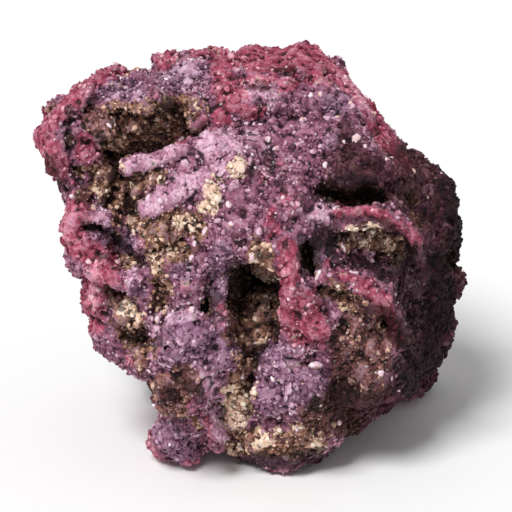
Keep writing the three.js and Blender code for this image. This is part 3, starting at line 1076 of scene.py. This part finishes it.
def crustMaterial():
    made, tree, shader, grain, coords = newMaterial("reef_crust", finish["roughness"], 1.0)
    broad, middle, fine = (noiseAt(tree, coords, *finish[name]) for name in ("broad", "middle", "fine"))
    pale = field(tree, "pale")
    patchy = plus(tree, times(tree, middle, 0.5), times(tree, fine, 0.5))
    tint = minus(tree, field(tree, "tint"), 0.5)
    shade = plus(tree, patchy, times(tree, tint, finish["tint"]))
    # pale crust, and painted highlight along some rims, lift the tone
    paleShade = plus(tree, shade, times(tree, pale, finish["pale"]))
    ragged = times(tree, minus(tree, patchy, 0.5), finish["ragged"])
    cloudy = times(tree, minus(tree, broad, 0.5), finish["cloudy"])
    torn = plus(tree, ragged, times(tree, minus(tree, middle, 0.5), finish["torn"]))
    colour = ramp(tree, paleShade, "lilac")
    # what lies over it: the field's values over which it covers, its light and dark, and what tears its edge
    layers = (
        ("violet", 0.3, 0.8, paleShade, ragged),
        ("pink", 0.3, 0.85, paleShade, plus(tree, ragged, cloudy)),
        ("rust", 0.4, 0.75, shade, ragged),
        ("bare", 0.42, 0.66, shade, torn),
        ("cream", 0.4, 0.8, shade, torn),
    )
    for name, low, high, light, edge in layers:
        place = plus(tree, field(tree, name), edge)
        colour = blended(tree, mapped(tree, place, low, high), colour, ramp(tree, light, name))
    relief = field(tree, "relief")
    # tops lightened with frost: wear, and painted highlight
    colour = blended(tree, mapped(tree, relief, *finish["worn"]), colour, palette["frost"])
    # creases and the feet of grains darkened: painted shade
    colour = blended(tree, mapped(tree, relief, *finish["creases"]), colour, palette["shade"])
    # pores darkened: painted shade in tiny holes
    holes = mapped(tree, larger(tree, field(tree, "pink"), pale), *finish["pores"])
    colour = blended(tree, times(tree, grain.outputs["Pores"], holes), colour, palette["shade"])
    # white specks: pale sand grains and painted glints
    colour = blended(tree, times(tree, grain.outputs["Specks"], finish["specks"]), colour, palette["white"])
    # painted shadow where the marks put it, and painted shade in recesses with little free room
    soot = mapped(tree, plus(tree, field(tree, "dark"), torn), *finish["soot"])
    deep = larger(tree, mapped(tree, field(tree, "free"), *finish["depths"]), soot)
    colour = blended(tree, times(tree, deep, finish["dark"]), colour, palette["shade"])
    # multiplied in: dark crimson crust, and painted shadow on the flank and under the overhangs
    dusk = times(tree, field(tree, "dusk"), finish["dusk"])
    colour = blended(tree, dusk, colour, palette["dusk"], "MULTIPLY")
    join(tree, colour, shader.inputs["Base Color"])
    bumped(tree, shader, grain.outputs["Height"], finish["bump"])
    return made


shell = {"roughness": 0.35, "grain": 1.6, "patches": (2.2, 3), "pores": 0.4, "bump": 0.15}


def shellMaterial():
    # white shell and crystal bits, and white bits that stand in for glints of light
    made, tree, shader, grain, coords = newMaterial("shell_white", shell["roughness"], shell["grain"])
    colour = ramp(tree, noiseAt(tree, coords, *shell["patches"]), "shell")
    holes = times(tree, grain.outputs["Pores"], shell["pores"])
    join(tree, blended(tree, holes, colour, palette["mauve"]), shader.inputs["Base Color"])
    bumped(tree, shader, grain.outputs["Height"], shell["bump"])
    return made


reefCrust, shellWhite = crustMaterial(), shellMaterial()
rock.data.materials.clear()
rock.data.materials.append(reefCrust)
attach(rock, "root")
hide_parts(body["node"])
print("materials ready")


# grains of the crust, sunk into the skin; each takes the colour fields of the place it sits on

grains = {
    "nodules": {
        "count": 1900, "radius": (1.0, 2.2), "flat": (0.4, 0.8), "sink": 0.55, "form": "pebble", "seed": 21,
        "bare": 0.7,  # how many lie on bare coral, against the crust
    },
    "granules": {
        "count": 9600, "radius": (0.6, 1.35), "flat": (0.4, 0.9), "sink": 0.4, "form": "chip", "seed": 22,
        "bare": 1.3,
    },
    "crumbs": {
        "count": 9800, "radius": (0.45, 1.0), "flat": (0.6, 1.1), "sink": 0.25, "form": "chip", "seed": 23,
        "bare": 1.8,
    },
    "grit": {
        "count": 20000, "radius": (0.3, 0.62), "flat": (0.6, 1.2), "sink": 0.2, "form": "speck", "seed": 24,
        "bare": 1.2,
    },
}

grainForm = {
    "cone": (0.9, 0.5, 1.3),  # a speck's radii and height
    "uneven": (1.4, 0.5),  # how often and how far the shape strays
    "apart": 7.7,
    "shapes": 6,
}

strewn = {
    "small": 1.8,  # power; a higher one gives more small grains
    "long": (0.8, 1.5),  # against the width
    "tilt": 0.3,
    "clump": 9,  # mm across the thick and thin places
    "clumped": (-0.25, 0.3),
    "thick": (0.3, 0.7),  # what every place gets, and what clumps add
    "smooth": (0.3, 0.8, 0.6),  # pink or pale over which grains get fewer, and how many fewer
    "bareFrom": (0.3, 0.7),
    "ground": (0.5, 4),  # mm up, over which they start
    "above": 0.4,  # mm between the largest grain and the ground
}


def finished(shape):
    # its points and triangles, facing out
    bmesh.ops.triangulate(shape, faces=shape.faces)
    bmesh.ops.recalc_face_normals(shape, faces=shape.faces)
    shape.verts.index_update()
    points = np.array([v.co for v in shape.verts])
    faces = np.array([[v.index for v in f.verts] for f in shape.faces])
    shape.free()
    return points, faces


def grainShape(form, luck):
    shape = bmesh.new()
    if form == "pebble":
        bmesh.ops.create_cube(shape, size=1.3)
        bmesh.ops.subdivide_edges(shape, edges=shape.edges, cuts=1, use_grid_fill=True)
        for v in shape.verts:
            v.co = v.co.normalized()
    elif form == "chip":
        bmesh.ops.create_icosphere(shape, subdivisions=1, radius=1)
    else:
        wide, narrow, high = grainForm["cone"]
        bmesh.ops.create_cone(shape, cap_ends=True, segments=3, radius1=wide, radius2=narrow, depth=high)
    often, reach = grainForm["uneven"]
    for v in shape.verts:
        v.co += noise.noise_vector(v.co * often + Vector((luck * grainForm["apart"], 0, 0))) * reach
    return finished(shape)


def scatter(skin, plan, weights):
    # random places on the skin, as thick as the weights say, with a frame for each
    rng = np.random.default_rng(plan["seed"])
    mesh = skin.data
    points, ways = pointsOf(skin), normalsOf(skin)
    mesh.calc_loop_triangles()
    corners = np.empty(len(mesh.loop_triangles) * 3, np.int32)
    mesh.loop_triangles.foreach_get("vertices", corners)
    corners = corners.reshape(-1, 3)
    a, b, c = (points[corners[:, k]] for k in range(3))
    area = np.linalg.norm(np.cross(b - a, c - a), axis=1) / 2
    weight = area * weights[corners].mean(1)
    n = plan["count"]
    chosen = rng.choice(len(corners), n, p=weight / weight.sum())
    first, second = rng.random(n), rng.random(n)
    turned = first + second > 1
    first[turned], second[turned] = 1 - first[turned], 1 - second[turned]
    spots = a[chosen] + (b - a)[chosen] * first[:, None] + (c - a)[chosen] * second[:, None]
    root = corners[chosen, 0]
    low, high = plan["radius"]
    radius = low + (high - low) * rng.random(n) ** strewn["small"]
    long = rng.uniform(*strewn["long"], n)
    return spots, root, *grainFrames(rng, ways[root], radius, long, rng.uniform(*plan["flat"], n))


def grainFrames(rng, ways, radius, long, flat):
    # length, width and height of each, as rows, and the height again
    up = ways + rng.normal(0, strewn["tilt"], ways.shape)
    up /= np.linalg.norm(up, axis=1)[:, None]
    side = np.cross(up, rng.normal(0, 1, ways.shape))
    side /= np.linalg.norm(side, axis=1)[:, None]
    rise = up * (radius * flat)[:, None]
    return np.stack([side * (radius * long)[:, None], np.cross(up, side) * radius[:, None], rise], 1), rise


heightShade = (0.5, 0.35)  # relief at a grain's middle, and what its top adds, which gives each grain a painted highlight on top and painted shade at its foot


def joinedPiece(name, skin, shapes, kind, spots, root, frames, tint, material, smooth=True):
    # one mesh of all the copies; each carries the fields of its root
    parts = []
    start = 0
    for k, (shape, faces) in enumerate(shapes):
        mine = np.nonzero(kind == k)[0]
        copies = np.einsum("pi,nij->npj", shape, frames[mine]) + spots[mine][:, None]
        copiedFaces = faces[None] + (start + np.arange(len(mine)) * len(shape))[:, None, None]
        start += len(mine) * len(shape)
        repeat = np.repeat(mine, len(shape))
        heights = np.tile(shape[:, 2], len(mine))
        parts.append((copies.reshape(-1, 3), copiedFaces.reshape(-1, 3), root[repeat], tint[repeat], heights))
    points, faces, roots, tints, heights = (np.concatenate(x) for x in zip(*parts))
    mesh = bpy.data.meshes.new(name)
    mesh.from_pydata((inBox(points) * mm).tolist(), [], faces.tolist())
    mesh.update()
    if smooth:
        mesh.shade_smooth()
    piece = bpy.data.objects.new(name, mesh)
    bpy.context.scene.collection.objects.link(piece)
    middle, more = heightShade
    ownRelief = np.clip(middle + more * heights, 0, 1)
    for key in fieldNames:
        setField(piece, key, ownRelief if key == "relief" else getField(skin, key)[roots])
    setField(piece, "tint", tints)
    mesh.materials.append(material)
    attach(piece, "root")
    print(name, len(faces), "triangles")


def addGrains(name, skin, plan):
    points = pointsOf(skin)
    clumps = np.array([noise.noise(Vector(p) / strewn["clump"]) for p in points])
    least, more = strewn["thick"]
    weights = least + more * ease(*strewn["clumped"], clumps)
    low, high, fewer = strewn["smooth"]
    weights *= 1 - fewer * ease(low, high, np.maximum(getField(skin, "pink"), getField(skin, "pale")))
    weights *= 1 + (plan["bare"] - 1) * ease(*strewn["bareFrom"], getField(skin, "bare"))
    weights *= ease(*strewn["ground"], points[:, 2])
    spots, root, frames, rise = scatter(skin, plan, weights)
    spots = spots + rise * (1 - 2 * plan["sink"])
    spots[:, 2] = np.maximum(spots[:, 2], plan["radius"][1] + strewn["above"])
    rng = np.random.default_rng(plan["seed"] + 100)
    shapes = [grainShape(plan["form"], k) for k in range(grainForm["shapes"])]
    kind = rng.integers(0, len(shapes), plan["count"])
    tint = rng.random(plan["count"])
    smooth = plan["form"] != "speck"
    joinedPiece("crust_" + name, skin, shapes, kind, spots, root, frames, tint, reefCrust, smooth)


for name, plan in grains.items():
    addGrains(name, rock, plan)
print("crust grains ready")


# little worm tubes and curled plates on the bare coral

curls = {
    "count": 130,
    "seed": 31,
    "radius": (0.7, 1.4),  # mm
    "flat": (0.8, 1.2),
    "sink": 0.4,
    "thick": 0.34,  # against the radius
    "steps": 6,
    "sides": 4,
    "turns": ((2.2, 0.2), (3.4, 0.0), (4.6, 0.5), (5.4, 0.9), (1.5, 0.3)),  # radians, and how far each climbs
    "bareFrom": (0.4, 0.8),
    "freeFrom": (0.25, 0.6),
    "elsewhere": 0.02,  # against the bare places
    "ground": (1, 5),  # mm up, over which they start
    "above": 2.0,  # mm
    "tint": (0.55, 1),
}


def curlShape(plan, turn, lean):
    shape = bmesh.new()
    bmesh.ops.create_circle(shape, segments=plan["sides"], radius=plan["thick"], cap_ends=True)
    bmesh.ops.rotate(shape, verts=shape.verts, matrix=Matrix.Rotation(math.pi / 2, 3, "X"))
    bmesh.ops.translate(shape, verts=shape.verts, vec=(1, 0, 0))
    steps, climb = plan["steps"], (0, 0, lean / plan["steps"])
    face = shape.faces[:]
    bmesh.ops.spin(shape, geom=face, cent=(0, 0, 0), axis=(0, 0, 1), angle=turn, steps=steps, dvec=climb)
    bmesh.ops.remove_doubles(shape, verts=shape.verts, dist=1e-4)
    return finished(shape)


def addCurls(skin, plan):
    bare, free = getField(skin, "bare"), getField(skin, "free")
    weights = ease(*plan["bareFrom"], bare) * ease(*plan["freeFrom"], free) + plan["elsewhere"]
    weights *= ease(*plan["ground"], pointsOf(skin)[:, 2])
    spots, root, frames, rise = scatter(skin, plan, weights)
    spots = spots - rise * plan["sink"]
    spots[:, 2] = np.maximum(spots[:, 2], plan["above"])
    rng = np.random.default_rng(plan["seed"] + 100)
    shapes = [curlShape(plan, turn, lean) for turn, lean in plan["turns"]]
    kind = rng.integers(0, len(shapes), plan["count"])
    tint = rng.uniform(*plan["tint"], plan["count"])
    joinedPiece("worm_tubes", skin, shapes, kind, spots, root, frames, tint, reefCrust)


addCurls(rock, curls)
print("worm tubes ready")


# white bits: shell and crystal, and white bits that stand in for glints of light

glints = {
    # mm across and up in the front view, half width, half length and lean in radians
    "placed": [
        (24, 41, 1.9, 3.2, 1.5), (49, 38, 1.6, 1.8, 0), (-4, 37, 1.5, 1.7, 0.4), (39.5, 127, 2.0, 2.3, 0.8),
        (19, 134, 1.3, 1.4, 0),
        (6, 127, 1.5, 1.7, 0), (9, 123.5, 1.1, 1.7, 1.2), (26, 144, 1.2, 1.3, 0), (28, 117, 1.4, 1.5, 0),
        (52, 118.5, 1.1, 2.9, -0.8),
        (-9, 102, 1.5, 1.6, 0), (-18, 92, 1.2, 2.1, 0.6), (-22, 87, 1.1, 1.6, 0.1),
        (-23, 82, 1.1, 1.7, 0.5), (34.5, 86, 1.0, 2.5, -0.3),
        (25, 75, 1.0, 2.6, 0.5), (-36, 58, 1.4, 1.8, 0), (-23, 62, 1.5, 2.0, 0), (-30, 61, 1.1, 1.3, 0),
        (-53, 134, 1.2, 2.0, 0.1),
        (-27, 127, 1.3, 1.7, 0.8), (17, 17, 1.1, 1.7, 0), (33, 19, 1.3, 1.4, 0), (0, 82, 1.4, 1.6, 0),
        (43, 124, 1.1, 1.2, 0),
    ],
    "wide": 0.8,  # all of their half widths and half lengths by this
    "long": 0.85,
    "flat": 0.8,  # against the width
    "rise": 0.3,  # how far the middle stands out, against the size
    "shapes": 4,
    "shapesFrom": 20,
    "tint": 0.9,
    "stray": {"count": 240, "radius": (0.5, 1.2), "flat": (0.5, 0.9), "seed": 41},
    "ground": (2, 6),  # mm up, over which the stray ones start
    "freeFrom": (0.3, 0.6),
    "dark": 1.02,  # none where the painted shadow field reaches this
}


def addGlints(skin, plan):
    tree, points, ways = treeOf(skin), pointsOf(skin), normalsOf(skin)
    finder = KDTree(len(points))
    for k, p in enumerate(points):
        finder.insert(p, k)
    finder.balance()
    up = frontAxes()[1]
    spots, root, frames = [], [], []
    for across, upward, wide, long, lean in plan["placed"]:
        wide, long = wide * plan["wide"], long * plan["long"]
        spot, way = spotSeen(tree, across, upward)
        if spot is None:
            continue
        k = finder.find(spot)[1]
        out = (Vector(ways[k]) - way).normalized()
        along = (up * math.cos(lean) + Vector((1, 0, 0)) * math.sin(lean)).cross(out).cross(out).normalized()
        spots.append(spot + out * wide * plan["rise"])
        root.append(k)
        frames.append([along * long, out.cross(along) * wide, out * wide * plan["flat"]])
    weights = ease(*plan["ground"], points[:, 2]) * ease(*plan["freeFrom"], getField(skin, "free"))
    weights = weights * (plan["dark"] - getField(skin, "dark"))
    more, moreRoot, moreFrames, rise = scatter(skin, plan["stray"], weights)
    spots = np.concatenate([np.array(spots), more + rise * plan["rise"]])
    root = np.concatenate([np.array(root), moreRoot])
    frames = np.concatenate([np.array(frames), moreFrames])
    shapes = [grainShape("pebble", plan["shapesFrom"] + k) for k in range(plan["shapes"])]
    kind = np.arange(len(root)) % len(shapes)
    tint = np.full(len(root), plan["tint"])
    joinedPiece("white_bits", skin, shapes, kind, spots, root, frames, tint, shellWhite)


addGlints(rock, glints)
print("white bits ready")


# floor, light and camera

studio = {
    "floor": (0.9, 0.9, 0.9, 1),
    "floorSize": 6,  # m to each side
    "floorRoughness": 0.9,
    "sun": (-0.46, -0.85, 1.2),  # from the rock towards the light
    "sunSpread": 22,  # degrees, for soft shadows
    "sunPower": 3.0,
    "sky": 0.42,
}


def makeStudio():
    form = bmesh.new()
    bmesh.ops.create_grid(form, x_segments=1, y_segments=1, size=studio["floorSize"])
    floor = newPiece("floor", form)
    paint = bpy.data.materials.new("floor_paint")
    paint.use_nodes = True
    shader = paint.node_tree.nodes["Principled BSDF"]
    shader.inputs["Base Color"].default_value = studio["floor"]
    shader.inputs["Roughness"].default_value = studio["floorRoughness"]
    floor.data.materials.append(paint)
    back, up, eye = frontAxes()
    camera = bpy.data.objects.new("camera", bpy.data.cameras.new("camera"))
    camera.data.lens = camera.data.sensor_width * front["distance"] / front["field"]
    camera.location = eye * mm
    camera.rotation_euler = (-back).to_track_quat("-Z", "Y").to_euler()
    bpy.context.scene.collection.objects.link(camera)
    bpy.context.scene.camera = camera
    light = bpy.data.lights.new("key_light", "SUN")
    light.angle = math.radians(studio["sunSpread"])
    light.energy = studio["sunPower"]
    lamp = bpy.data.objects.new("key_light", light)
    lamp.rotation_euler = Vector(studio["sun"]).to_track_quat("Z", "Y").to_euler()
    bpy.context.scene.collection.objects.link(lamp)
    world = bpy.data.worlds.new("world")
    world.use_nodes = True
    world.node_tree.nodes["Background"].inputs["Color"].default_value = (1, 1, 1, 1)
    world.node_tree.nodes["Background"].inputs["Strength"].default_value = studio["sky"]
    bpy.context.scene.world = world
    bpy.context.scene.view_settings.view_transform = "Standard"


makeStudio()
print("studio ready")
